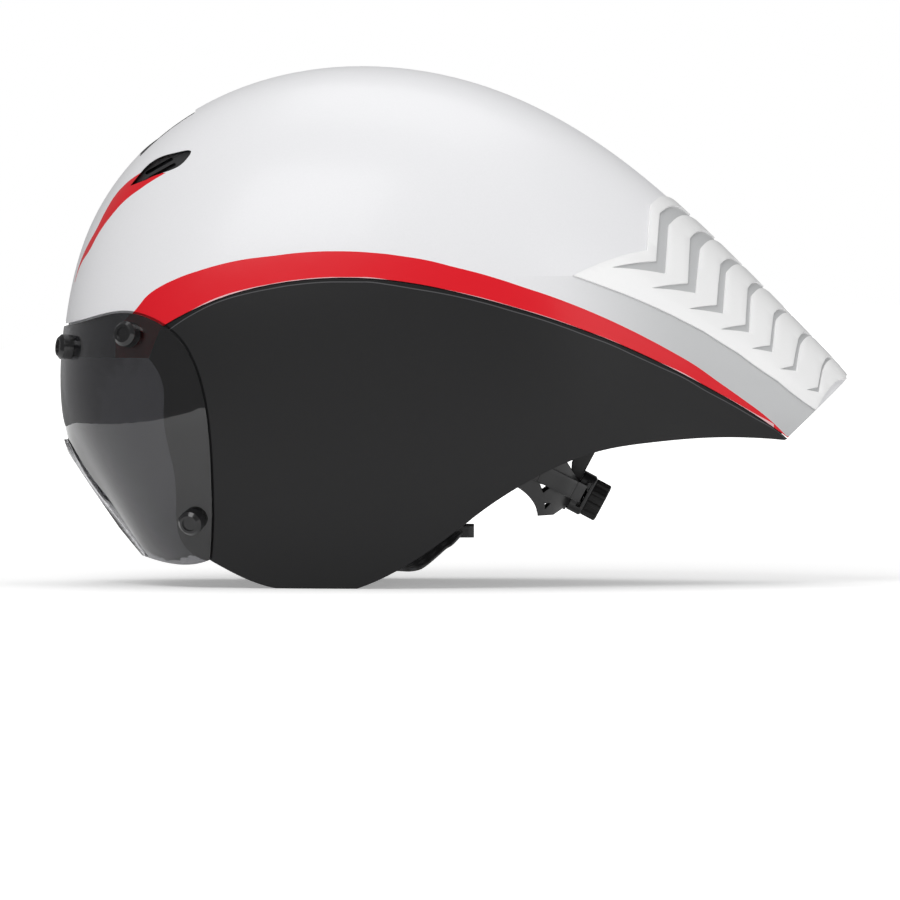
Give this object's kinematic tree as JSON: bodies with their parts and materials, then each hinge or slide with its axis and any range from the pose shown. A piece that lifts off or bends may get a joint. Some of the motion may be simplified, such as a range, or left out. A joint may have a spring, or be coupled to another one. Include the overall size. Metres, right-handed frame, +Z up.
{
  "type": "aero time trial helmet",
  "caption": "Teardrop time trial cycling helmet with a magnetic pull-off visor, covered ears, a long vented tail, foam liner, pads, dial-fit cradle, chin straps and buckle.",
  "frame": {"origin": "under the middle of the helmet's length and width, on the surface that the lower edges of the side covers stand on", "axes": "+X towards the tail, -X where the face looks, +Y to the wearer's right, +Z up"},
  "size_m": [0.3791, 0.2056, 0.2484],
  "materials": {
    "shell_white": "gloss painted shell, pearl white",
    "cover_black": "satin black moulded shell",
    "visor_smoke": "smoke grey polycarbonate lens",
    "trim_rubber": "soft black edge trim",
    "stud_black": "satin black",
    "magnet_metal": "nickel plated magnet",
    "foam_black": "moulded bead foam, dark grey",
    "pad_fabric": "knitted cover over soft foam",
    "fit_nylon": "satin black nylon",
    "dial_rubber": "matt black overmould",
    "pin_steel": "plain steel",
    "strap_webbing": "woven black webbing"
  },
  "bodies": {
    "helmet": {"belt_anchors": "fit_nylon", "brow_pad": "pad_fabric", "buckle_socket": "fit_nylon", "centre_scoop": "stud_black", "crown_pads": "pad_fabric", "hanger_bracket": "fit_nylon", "hanger_pin": "pin_steel", "left_belt": "fit_nylon", "left_chin_strap": "strap_webbing", "left_ear_pad": "pad_fabric", "left_front_strap": "strap_webbing", "left_rear_strap": "strap_webbing", "left_side_cover": "cover_black", "left_side_pad": "pad_fabric", "left_strap_divider": "fit_nylon", "left_vent_insert": "stud_black", "liner": "foam_black", "receiver_magnets": "magnet_metal", "right_belt": "fit_nylon", "right_chin_strap": "strap_webbing", "right_ear_pad": "pad_fabric", "right_front_strap": "strap_webbing", "right_rear_strap": "strap_webbing", "right_side_cover": "cover_black", "right_side_pad": "pad_fabric", "right_strap_divider": "fit_nylon", "right_vent_insert": "stud_black", "strap_anchors": "fit_nylon", "tail_core": "foam_black", "tail_underpan": "cover_black", "tail_vent_grille": "cover_black", "upper_shell": "shell_white"},
    "visor": {"visor_lens": "visor_smoke", "visor_studs": "stud_black", "visor_magnets": "magnet_metal", "nose_trim": "trim_rubber"},
    "hanger": {"hanger": "fit_nylon"},
    "cradle": {"cradle": "fit_nylon", "dial_housing_lid": "fit_nylon", "cradle_pads": "pad_fabric"},
    "dial": {"dial": "dial_rubber", "dial_pinion": "fit_nylon"},
    "left_rack": {"left_rack": "fit_nylon"},
    "right_rack": {"right_rack": "fit_nylon"},
    "buckle_slider": {"buckle_slider": "fit_nylon"}
  },
  "joints": [
    {"name": "visor_pull", "type": "slide", "parent": "helmet", "child": "visor", "axis": [-0.995, 0, -0.0995], "range_m": [0, 0.09]},
    {"name": "hanger_swing", "type": "hinge", "parent": "helmet", "child": "hanger", "pos_m": [0.066, 0, 0.068], "axis": [0, 1, 0], "range_deg": [-10.1, 10.1], "deforming": ["left_belt", "right_belt"]},
    {"name": "cradle_height", "type": "slide", "parent": "hanger", "child": "cradle", "axis": [0.4695, 0, 0.8829], "range_m": [-0.006, 0.0035], "deforming": ["left_belt", "right_belt"]},
    {"name": "dial_turn", "type": "hinge", "parent": "cradle", "child": "dial", "pos_m": [0.0615, 0, 0.0442], "axis": [0.8829, 0, -0.4695], "range_deg": [-135, 135], "deforming": ["left_belt", "right_belt"]},
    {"name": "left_rack_slide", "type": "slide", "parent": "cradle", "child": "left_rack", "axis": [0, -1, 0], "range_m": [-0.0076, 0.0076], "deforming": ["left_belt", "right_belt"]},
    {"name": "right_rack_slide", "type": "slide", "parent": "cradle", "child": "right_rack", "axis": [0, 1, 0], "range_m": [-0.0076, 0.0076], "deforming": ["left_belt", "right_belt"]},
    {"name": "buckle_slide", "type": "slide", "parent": "helmet", "child": "buckle_slider", "axis": [-1, 0, 0], "range_m": [0, 0.027], "deforming": ["right_chin_strap"]}
  ],
  "couplings": [
    {"joint": "hanger_swing", "follows": "dial_turn", "ratio": -0.0741},
    {"joint": "left_rack_slide", "follows": "dial_turn", "m_per_rad": 0.0031831},
    {"joint": "right_rack_slide", "follows": "dial_turn", "m_per_rad": 0.0031831}
  ]
}
